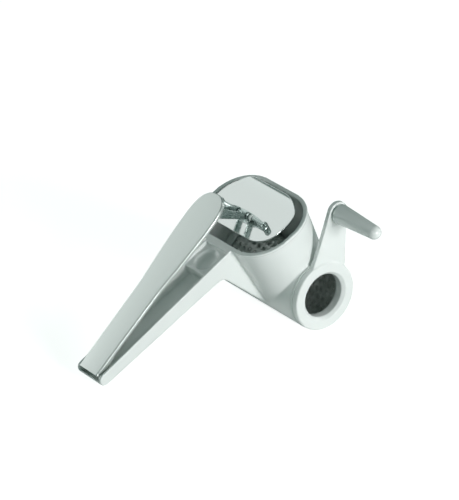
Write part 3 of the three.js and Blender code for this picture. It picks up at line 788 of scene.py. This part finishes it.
def build_shell(sizes, start, end):
    """The drum's sheet: rings of teeth between two plain margins."""
    radius = sizes.shell_radius
    pitch_u = 2 * math.pi * radius / sizes.teeth_around
    margin = 3.5 * MM
    pitch_v = (end - start - 2 * margin) / sizes.teeth_along
    vertices = []
    faces = []

    def add(points):
        first = len(vertices)
        for u, v, rise in points:
            turn = u / radius
            reach = radius + rise
            vertices.append((reach * math.sin(turn), v, reach * math.cos(turn)))
        return first

    for column in range(sizes.teeth_around):
        u = column * pitch_u
        for row in range(sizes.teeth_along):
            v = start + margin + (row + 0.5) * pitch_v
            firsts = [add(ring) for ring in tooth_cell(u, v, pitch_u, pitch_v, sizes.tooth_height)]
            for face in bands(TOOTH_POINTS, len(firsts)):
                faces.append(tuple(firsts[0] + corner for corner in face))
        for v0, v1 in ((start, start + margin), (end - margin, end)):
            for third in range(3):
                u0 = u + pitch_u * (third / 3 - 0.5)
                u1 = u0 + pitch_u / 3
                first = add([(u0, v0, 0), (u1, v0, 0), (u1, v1, 0), (u0, v1, 0)])
                faces.append((first, first + 1, first + 2, first + 3))
    piece = mesh_object("toothed_shell", vertices, faces, drum_frame(), 50)
    thickened(piece, sizes.shell_sheet)
    finished(piece, "drum", "drum_steel", "drum_shell")


def build_seam(start, end):
    """The strip inside the shell, along its seam."""
    half = 4 * MM
    top = 19 * MM
    bottom = 18.3 * MM
    angle = math.radians(-35)
    outline = [(-half, bottom), (half, bottom), (half, top), (-half, top)]
    piece = prism("seam_strip", outline, start, end, along_y=True)
    bevelled(piece, 0.2 * MM)
    piece.data.transform(drum_frame() @ Matrix.Rotation(angle, 4, "Y"))
    finished(piece, "drum", "drum_steel", "drum_seam_strip")


def build_ends(sizes):
    """What closes the drum at both ends."""
    place = drum_frame()
    outer = sizes.housing_radius - sizes.housing_wall - 2 * GAP - SLEEVE_WALL
    over_shell = sizes.shell_radius + GAP
    build_collar(sizes, place, outer, over_shell)
    build_rear_cap(place, outer, over_shell)
    build_retainer(place)


def build_collar(sizes, place, outer, over_shell):
    """The collar that joins the shell to the crank."""
    front = sizes.neck_end + GAP + NECK_FLANGE
    start = front - 10 * MM
    step = front - 4 * MM
    spigot = sizes.hub_bore + SPIGOT_WALL + GAP
    collar = [(over_shell, start), (outer, start), (outer, front)]
    collar += [(spigot, front), (spigot, step), (over_shell, step)]
    piece = turned("drum_collar", to_crank(rounded(collar, 0.25 * MM)), place, 144)
    finished(piece, "drum", "bearing_plastic", "drum_front_collar")


def build_rear_cap(place, outer, over_shell):
    """The cap with the stub that turns in the bush."""
    stub_radius = 4 * MM
    skirt, stub_end = span("drum_rear_cap")
    face = skirt + 4.3 * MM
    back = face + 2.2 * MM
    cap = [(0, face), (over_shell, face), (over_shell, skirt), (outer, skirt), (outer, back)]
    cap += [(stub_radius, back), (stub_radius, stub_end), (0, stub_end)]
    piece = turned("rear_cap", rounded(cap, 0.3 * MM), place, 144)
    finished(piece, "drum", "white_plastic", "drum_rear_cap")


def build_retainer(place):
    """The cap outside the far wall."""
    bore = 4.3 * MM
    radius = 8 * MM
    back, tip = span("drum_retainer")
    bottom = tip - 1.3 * MM
    cap = [(0, bottom), (bore, bottom), (bore, back), (radius, back), (radius, tip), (0, tip)]
    piece = turned("retainer_cap", rounded(cap, 0.9 * MM), place)
    finished(piece, "drum", "white_plastic", "drum_retainer")


class GRATER_OT_drum(PieceOperator, bpy.types.Operator):
    """Build the toothed drum with its seam strip, collar, rear cap and retainer"""

    bl_idname = "grater.drum"
    bl_label = "Drum"

    def execute(self, context):
        sizes = context.scene.grater_sizes
        start, end = span("drum_shell")
        build_shell(sizes, start, end)
        build_seam(start, end)
        build_ends(sizes)
        return {"FINISHED"}


def arm_outline(sizes, foot_radius):
    """Crank arm about the drum axis, pointing up."""
    foot_half = 14.5 * MM
    waist_half = 11 * MM
    tip_radius = 8 * MM
    foot_sink = 1 * MM
    waist_rise = 6 * MM
    foot = math.sqrt(foot_radius**2 - foot_half**2) - foot_sink
    waist = sizes.crank_radius / 2 + waist_rise
    outline = [(foot_half, foot)]
    outline += bezier([(foot_half, foot), (waist_half, waist), (tip_radius, sizes.crank_radius)], 16)
    outline += arc((0, sizes.crank_radius), tip_radius, 0, 180, 24)[1:]
    outline += bezier([(-tip_radius, sizes.crank_radius), (-waist_half, waist), (-foot_half, foot)], 16)
    return outline


class GRATER_OT_crank(PieceOperator, bpy.types.Operator):
    """Build the crank: hub ring and arm in one moulding"""

    bl_idname = "grater.crank"
    bl_label = "Crank"

    def execute(self, context):
        sizes = context.scene.grater_sizes
        hub_bevel = 2.2 * MM
        hub_edge = 0.6 * MM
        face, spigot_back = (-y for y in span("crank"))
        back = sizes.neck_end + 2 * GAP + NECK_FLANGE
        radius = sizes.housing_radius - GAP
        bore = sizes.hub_bore
        spigot = bore + SPIGOT_WALL
        hub = [(bore, spigot_back), (spigot, spigot_back), (spigot, back), (radius, back)]
        hub += [(radius, face - hub_edge), (radius - hub_edge, face)]
        hub += [(bore + hub_bevel, face), (bore, face - hub_bevel)]
        ring = turned("hub", to_crank(hub), Matrix.Identity(4), 144)
        arm = prism("arm", arm_outline(sizes, radius), -back - 3.6 * MM, -back - 0.1 * MM, along_y=True)
        reach = sizes.crank_radius
        bore_cut = rod("bore", SPINDLE_HOLE, -back - 5 * MM, -back + THROUGH, z=reach, segments=48)
        recess = rod("recess", 4.5 * MM, -back - 1.3 * MM, -back + THROUGH, z=reach, segments=48)
        piece = moulded("crank_arm", [ring, arm], [bore_cut, recess], drum_frame(), 0.4 * MM, 4)
        finished(piece, "drum", "white_plastic", "crank")
        return {"FINISHED"}


def build_grip(sizes, place):
    """The tapered knob with its domed tip."""
    hole_depth = 30.3 * MM
    edge = 1 * MM
    tip, base = (-y for y in span("knob"))
    dome = sizes.knob_tip_radius
    knob = [(0, base + hole_depth), (SPINDLE_HOLE, base + hole_depth), (SPINDLE_HOLE, base)]
    knob += arc((sizes.knob_base_radius - edge, base + edge), edge, -90, 0, 6)
    knob += arc((0, tip - dome), dome, 4, 90, 20)
    piece = turned("knob_grip", to_crank(knob), place, 96)
    finished(piece, "knob", "white_plastic", "knob")


def build_spindle(place):
    """The headed pin inside the knob."""
    radius = 2 * MM
    head_radius = 4.2 * MM
    end, start = (-y for y in span("knob_spindle"))
    neck = start + 1 * MM
    pin = [(0, start), (head_radius, start), (head_radius, neck), *tube(0, radius, neck, end)[1:]]
    piece = turned("spindle", to_crank(rounded(pin, 0.2 * MM)), place, 64)
    finished(piece, "drum", "brushed_steel", "knob_spindle")


def build_washer(place):
    """The washer between knob and arm."""
    radius = 6 * MM
    front, back = (-y for y in span("knob_washer"))
    ring = rounded(tube(SPINDLE_HOLE, radius, back, front), 0.2 * MM)
    piece = turned("washer", to_crank(ring), place, 64)
    finished(piece, "drum", "bearing_plastic", "knob_washer")


class GRATER_OT_knob(PieceOperator, bpy.types.Operator):
    """Build the knob, its spindle and its washer"""

    bl_idname = "grater.knob"
    bl_label = "Knob"

    def execute(self, context):
        sizes = context.scene.grater_sizes
        place = drum_frame() @ Matrix.Translation((0, 0, sizes.crank_radius))
        build_grip(sizes, place)
        build_spindle(place)
        build_washer(place)
        return {"FINISHED"}


def lever_outline(sizes, inset):
    """Open line round the lever's sides and tip, drawn in by inset."""
    hinge = CHEEK_HALF_WIDTH - inset
    waist = 10.7 * MM - inset
    waist_x = 70 * MM
    shoulder = 14 * MM - inset
    shoulder_x = 124 * MM
    shoulder_run = 20 * MM
    relief_x = -0.3 * MM
    tip = sizes.lever_length - inset
    tip_x = sizes.lever_length - 7 * MM
    side = [(-sizes.lever_tail, -hinge), (relief_x, -hinge), (0, -hinge)]
    side += [(share * waist_x, -hinge + (hinge - waist) * share) for share in np.linspace(0.1, 1, 10)]
    side += bezier([side[-1], (shoulder_x - shoulder_run, -shoulder), (shoulder_x, -shoulder)], 20)
    side += bezier([side[-1], (tip_x, -shoulder), (tip, -shoulder * 0.7), (tip, 0)], 20)
    return side + [(x, -y) for x, y in reversed(side[:-1])]


def cheek_outline(sizes):
    """Cheek round the hinge pin, from the side, with a rear edge that leans forward."""
    radius = 2.7 * MM
    end = 18 * MM
    neck = sizes.lever_rise - sizes.lever_flange
    lean = 90 + math.degrees(math.acos(radius / neck))
    under = sizes.lever_rise - sizes.lever_sheet / 2
    return [(end, neck), (end, under), (0, under), (0, neck)] + arc((0, 0), radius, lean, 360, 20)


def build_pressing(sizes, place):
    """The lever: pressed skin with two hinge cheeks."""
    piece = build_skin(sizes)
    thickened(piece, sizes.lever_sheet)
    inner = CHEEK_HALF_WIDTH - sizes.lever_sheet
    shape = bmesh.new()
    shape.from_mesh(piece.data)
    for y in (-CHEEK_HALF_WIDTH, inner):
        cheek = prism("cheek", cheek_outline(sizes), y, y + sizes.lever_sheet, along_y=True)
        shape.from_mesh(cheek.data)
        bpy.data.objects.remove(cheek)
    shape.to_mesh(piece.data)
    shape.free()
    bevelled(piece, 0.12 * MM, 2)
    piece.data.transform(place)
    finished(piece, "lever", "brushed_steel", "lever")


def build_skin(sizes):
    """The lever's outside: turned-down edge, pressed corner and flat top."""
    corner = 1.1 * MM
    levels = [(0, sizes.lever_rise - sizes.lever_flange)]
    for inset, drop in arc((corner, -corner), corner, 180, 90, 6):
        levels.append((inset, sizes.lever_rise + drop))
    relief = sizes.lever_rise - corner - 0.05 * MM
    vertices = []
    for inset, height in levels:
        for x, y in lever_outline(sizes, inset):
            vertices.append((x, y, max(height, relief) if x < 0 else height))
    count = len(vertices) // len(levels)
    faces = bands(count, len(levels), closed=False)
    last = (len(levels) - 1) * count
    for i in range(count // 2):
        near = last + i
        far = last + count - 1 - i
        faces.append((near, near + 1, far - 1, far))
    return mesh_object("lever_pressing", vertices, faces, Matrix.Identity(4))


def build_hinge(place):
    """The hinge pin and its two spacers."""
    pin_radius = 1.25 * MM
    start, end = span("hinge_pin")
    piece = turned("hinge_rod", rounded(tube(0, pin_radius, start, end), 0.2 * MM), place, 48)
    finished(piece, "body", "brushed_steel", "hinge_pin")
    bore = 1.55 * MM
    radius = 2.6 * MM
    for node in ("hinge_spacer_near", "hinge_spacer_far"):
        ring = tube(bore, radius, *span(node))
        piece = turned(node + "_ring", rounded(ring, 0.1 * MM), place, 48)
        finished(piece, "body", "bearing_plastic", node)


class GRATER_OT_lever(PieceOperator, bpy.types.Operator):
    """Build the pressed-steel lever, with its hinge cheeks, pin and spacers"""

    bl_idname = "grater.lever"
    bl_label = "Lever"

    def execute(self, context):
        sizes = context.scene.grater_sizes
        place = lever_frame(sizes)
        build_pressing(sizes, place)
        build_hinge(place)
        return {"FINISHED"}


class GRATER_OT_press_arm(PieceOperator, bpy.types.Operator):
    """Build the arm that hangs the press plate from the lever's tip"""

    bl_idname = "grater.press_arm"
    bl_label = "Press Arm"

    def execute(self, context):
        sizes = context.scene.grater_sizes
        place = lever_frame(sizes)
        pivot = place.inverted() @ Vector(JOINTS["plate_tilt"]["pos_m"])
        top = sizes.lever_rise - sizes.lever_sheet - GAP
        sheet = 1.1 * MM
        half = 6 * MM
        start = 113 * MM
        end = 138 * MM
        root = end - 9 * MM
        bend_outside = (end + 4 * MM, -10 * MM)
        bend_inside = (end - 2 * MM, -10 * MM)
        eye = 2.6 * MM
        eye_start = 17
        rim = arc((pivot.x, pivot.z), eye, eye_start, eye_start - 180, 20)
        cheek = [(end, top)]
        cheek += bezier([(end, top), bend_outside, rim[0]], 12)
        cheek += rim[1:]
        cheek += bezier([rim[-1], bend_inside, (root, top - sheet)], 12)
        cheek.append((root, top))
        pad = prism("pad", [(start, -half), (end, -half), (end, half), (start, half)], top - sheet, top)
        sides = [prism("side", cheek, y, y + sheet, along_y=True) for y in (-half, half - sheet)]
        bore = rod("eye", ROD_BORE, -half - THROUGH, half + THROUGH, pivot.x, pivot.z, 48)
        piece = moulded("plate_arm", [pad, *sides], [bore], place, 0.25 * MM, 2)
        # The darker steel copy paints shade on the arm.
        finished(piece, "lever", "brushed_steel", "press_arm", look="fitting_steel")
        return {"FINISHED"}


def plate_outline(sizes, inset):
    """Closed outline of the press plate from above, drawn in by inset."""
    least = 0.5 * MM
    front_corner = max(20 * MM - inset, least)
    rear_corner = max(16 * MM - inset, least)
    side = sizes.plate_half_width - inset
    front = sizes.plate_front - inset - front_corner
    rear = inset - sizes.plate_rear + rear_corner
    outline = arc((front, -side + front_corner), front_corner, -90, 0, 14)
    outline += arc((front, side - front_corner), front_corner, 0, 90, 14)
    outline += arc((rear, side - rear_corner), rear_corner, 90, 180, 14)
    outline += arc((rear, -side + rear_corner), rear_corner, 180, 270, 14)
    return outline


def plate_height(sizes, x):
    """Height of the plate's top over its middle: curled up towards the front, and slightly at the rear."""
    start = 20 * MM
    rear_rise = 0.4 * MM
    share = min(max((x - start) / (sizes.plate_front - start), 0.0), 1.0)
    return sizes.plate_curl * share**1.6 + rear_rise * (min(0.0, x) / sizes.plate_rear) ** 2


class GRATER_OT_press_plate(PieceOperator, bpy.types.Operator):
    """Build the polished press plate"""

    bl_idname = "grater.press_plate"
    bl_label = "Press Plate"

    def execute(self, context):
        sizes = context.scene.grater_sizes
        surface = -4.4 * MM
        insets = [inset * MM for inset in (0, 0.6, 1.4, 2.6, 4, 5.6, 7.4, 9.4, 11.4, 13.4, 15.4, 17.4)]
        vertices = []
        for inset in insets:
            vertices += [(x, y, surface + plate_height(sizes, x)) for x, y in plate_outline(sizes, inset)]
        count = len(vertices) // len(insets)
        middle = tuple(range(len(vertices) - count, len(vertices)))
        faces = bands(count, len(insets)) + [middle]
        piece = mesh_object("plate_sheet", vertices, faces, Matrix.Identity(4))
        thickened(piece, sizes.plate_sheet)
        bevelled(piece, 0.25 * MM, 2)
        piece.data.transform(plate_frame(sizes))
        finished(piece, "plate", "polished_steel", "press_plate")
        return {"FINISHED"}


def build_bracket(place):
    """A pointed leaf with four ears that carry the rod."""
    leaf_half = 29 * MM
    leaf_bow = 9.2 * MM
    base = -3.95 * MM
    sheet = 0.8 * MM
    leaf = bezier([(0, -leaf_half), (leaf_bow, 0), (0, leaf_half)], 24)
    leaf += bezier([(0, leaf_half), (-leaf_bow, 0), (0, -leaf_half)], 24)
    adds = [prism("leaf", leaf, base, base + sheet)]
    radius = 2.4 * MM
    foot = base + sheet / 2
    ear = [(-radius, foot), (radius, foot)] + arc((0, 0), radius, 0, 180, 16)
    thickness = 1.2 * MM
    for inner in (6.4 * MM, ROD_HALF - 2 * thickness):
        adds.append(prism("ear", ear, inner, inner + thickness, along_y=True))
        adds.append(prism("ear", ear, -inner - thickness, -inner, along_y=True))
    bore = rod("bore", ROD_BORE, -30 * MM, 30 * MM, segments=48)
    piece = moulded("leaf_bracket", adds, [bore], place, 0.25 * MM, 2)
    # The darker steel copy paints shade on the bracket.
    finished(piece, "plate", "brushed_steel", "plate_bracket", look="fitting_steel")


def build_rod(place):
    """The cross rod in the ears."""
    pin = rounded(tube(0, ROD_RADIUS, -ROD_HALF, ROD_HALF), 0.3 * MM)
    piece = turned("cross_rod", pin, place, 48)
    # The darker steel copy paints shade on the rod.
    finished(piece, "plate", "brushed_steel", "plate_pivot_pin", look="fitting_steel")


def build_bead(node, place):
    """A round bead on the rod."""
    radius = 2.08 * MM
    half_turn = 48
    low, high = span(node)
    bead = arc((0, (low + high) / 2), radius, -half_turn, half_turn, 20)
    bead += [(ROD_BORE, bead[-1][1]), (ROD_BORE, bead[0][1])]
    piece = turned(node + "_ball", bead, place, 48)
    finished(piece, "plate", "bearing_plastic", node)


class GRATER_OT_plate_pivot(PieceOperator, bpy.types.Operator):
    """Build the leaf bracket, the cross rod and its two beads"""

    bl_idname = "grater.plate_pivot"
    bl_label = "Plate Pivot"

    def execute(self, context):
        sizes = context.scene.grater_sizes
        place = plate_frame(sizes)
        build_bracket(place)
        build_rod(place)
        for node in ("pivot_bead_near", "pivot_bead_far"):
            build_bead(node, place)
        return {"FINISHED"}


def build_floor(context):
    """A pale floor that glows for the camera only, so that it casts no light on the object."""
    half = 6.0
    corners = [(-half, -half, 0), (half, -half, 0), (half, half, 0), (-half, half, 0)]
    floor = mesh_object("studio_floor", corners, [(0, 1, 2, 3)], Matrix.Identity(4))
    finish = Finish("studio_floor")
    cloud = finish.group("Grain", grain_group, Scale=3.0, Low=0.0, High=1.0)
    base = context.scene.grater_finish.floor
    tone = finish.mixed(shade(base, 0.99), shade(base, 1.0), cloud.outputs["Value"])
    finish.links.new(tone, finish.shader.inputs["Base Color"])
    finish.shader.inputs["Roughness"].default_value = 0.7
    sight = finish.nodes.new("ShaderNodeLightPath")
    glow = finish.mixed((0, 0, 0), (1, 1, 1), sight.outputs["Is Camera Ray"])
    finish.links.new(glow, finish.shader.inputs["Emission Color"])
    finish.shader.inputs["Emission Strength"].default_value = 0.8
    floor.data.materials.append(finish.material)


def build_sky(context):
    """A dim sky, graded by height."""
    world = bpy.data.worlds.new("studio_sky")
    world.use_nodes = True
    nodes = world.node_tree.nodes
    links = world.node_tree.links
    place = nodes.new("ShaderNodeTexCoord")
    split = nodes.new("ShaderNodeSeparateXYZ")
    ramp = nodes.new("ShaderNodeValToRGB")
    stops = ((0.0, 0.14), (0.25, 0.15), (0.6, 0.15), (1.0, 0.10))
    while len(ramp.color_ramp.elements) < len(stops):
        ramp.color_ramp.elements.new(0.5)
    for element, (position, level) in zip(ramp.color_ramp.elements, stops):
        element.position = position
        element.color = (level * 0.62, level, level * 0.90, 1)  # a cool green tint
    links.new(place.outputs["Generated"], split.inputs["Vector"])
    links.new(split.outputs["Z"], ramp.inputs["Fac"])
    links.new(ramp.outputs["Color"], nodes["Background"].inputs["Color"])
    nodes["Background"].inputs["Strength"].default_value = 1.0
    context.scene.world = world


def build_light(name, place, size, power):
    """A round lamp that faces the origin."""
    light = bpy.data.lights.new(name, "AREA")
    light.shape = "DISK"
    light.size = size
    light.energy = power
    lamp = bpy.data.objects.new(name, light)
    lamp.location = place
    lamp.rotation_euler = (-Vector(place)).to_track_quat("-Z", "Y").to_euler()
    bpy.context.scene.collection.objects.link(lamp)
    return lamp


def build_camera(context):
    """A long lens, slightly rolled, aimed beside the middle of the body."""
    azimuth = math.radians(-36.2)
    elevation = math.radians(27.9)
    roll = math.radians(-2.4)
    distance = 2.2
    aim_right = 21.0 * MM
    aim_up = 13.8 * MM
    level = math.cos(elevation)
    back = Vector((math.sin(azimuth) * level, -math.cos(azimuth) * level, math.sin(elevation)))
    right = Vector((math.cos(azimuth), math.sin(azimuth), 0))
    up = back.cross(right)
    tilted_right = math.cos(roll) * right + math.sin(roll) * up
    tilted_up = math.cos(roll) * up - math.sin(roll) * right
    middle = Vector((0, JOINTS["crank_turn"]["pos_m"][1], 50 * MM))
    aim = middle + aim_right * tilted_right + aim_up * tilted_up
    lens = bpy.data.cameras.new("camera")
    lens.sensor_fit = "HORIZONTAL"
    lens.sensor_width = 36.0
    lens.lens = 255.0
    lens.clip_start = 0.05
    lens.clip_end = 50.0
    camera = bpy.data.objects.new("camera", lens)
    matrix = Matrix((tilted_right, tilted_up, back)).transposed().to_4x4()
    matrix.translation = aim + back * distance
    camera.matrix_world = matrix
    context.scene.collection.objects.link(camera)
    context.scene.camera = camera


class GRATER_OT_stage(PieceOperator, bpy.types.Operator):
    """Build the floor, the lights and the camera"""

    bl_idname = "grater.stage"
    bl_label = "Stage"

    def execute(self, context):
        build_floor(context)
        build_sky(context)
        build_light("front_light", (0.15, -1.5, 0.40), 0.5, 15.0)
        build_light("rear_light", (-0.7, 1.35, 0.15), 0.6, 7.0)
        card = build_light("rear_card", (-0.23, 0.82, 0.83), 1.72, 5.3)
        card.visible_diffuse = False  # only mirrored in the steel
        build_light("side_light", (1.3, -0.5, 0.5), 0.5, 3.0)
        build_camera(context)
        context.scene.view_settings.view_transform = "Standard"
        return {"FINISHED"}


# ---- Panel and registration ----

OPERATORS = (
    GRATER_OT_stage,
    GRATER_OT_body,
    GRATER_OT_bearings,
    GRATER_OT_drum,
    GRATER_OT_crank,
    GRATER_OT_knob,
    GRATER_OT_lever,
    GRATER_OT_press_arm,
    GRATER_OT_press_plate,
    GRATER_OT_plate_pivot,
)


class GRATER_PT_pieces(bpy.types.Panel):
    """Lists the operators, the sizes and the colours"""

    bl_label = "Grater"
    bl_idname = "GRATER_PT_pieces"
    bl_space_type = "VIEW_3D"
    bl_region_type = "UI"
    bl_category = "Grater"

    def draw(self, context):
        for operator in OPERATORS:
            self.layout.operator(operator.bl_idname)
        for group in (context.scene.grater_sizes, context.scene.grater_finish):
            column = self.layout.column(align=True)
            for name in group.__annotations__:
                column.prop(group, name)


CLASSES = (GraterSizes, GraterFinish, *OPERATORS, GRATER_PT_pieces)


def register():
    for cls in CLASSES:
        bpy.utils.register_class(cls)
    bpy.types.Scene.grater_sizes = PointerProperty(type=GraterSizes)
    bpy.types.Scene.grater_finish = PointerProperty(type=GraterFinish)


def unregister():
    del bpy.types.Scene.grater_finish
    del bpy.types.Scene.grater_sizes
    for cls in reversed(CLASSES):
        bpy.utils.unregister_class(cls)


def main():
    register()
    bpy.ops.grater.stage()
    bpy.ops.grater.body()
    bpy.ops.grater.bearings()
    bpy.ops.grater.drum()
    bpy.ops.grater.crank()
    bpy.ops.grater.knob()
    bpy.ops.grater.lever()
    bpy.ops.grater.press_arm()
    bpy.ops.grater.press_plate()
    bpy.ops.grater.plate_pivot()


if __name__ == "__main__":
    main()
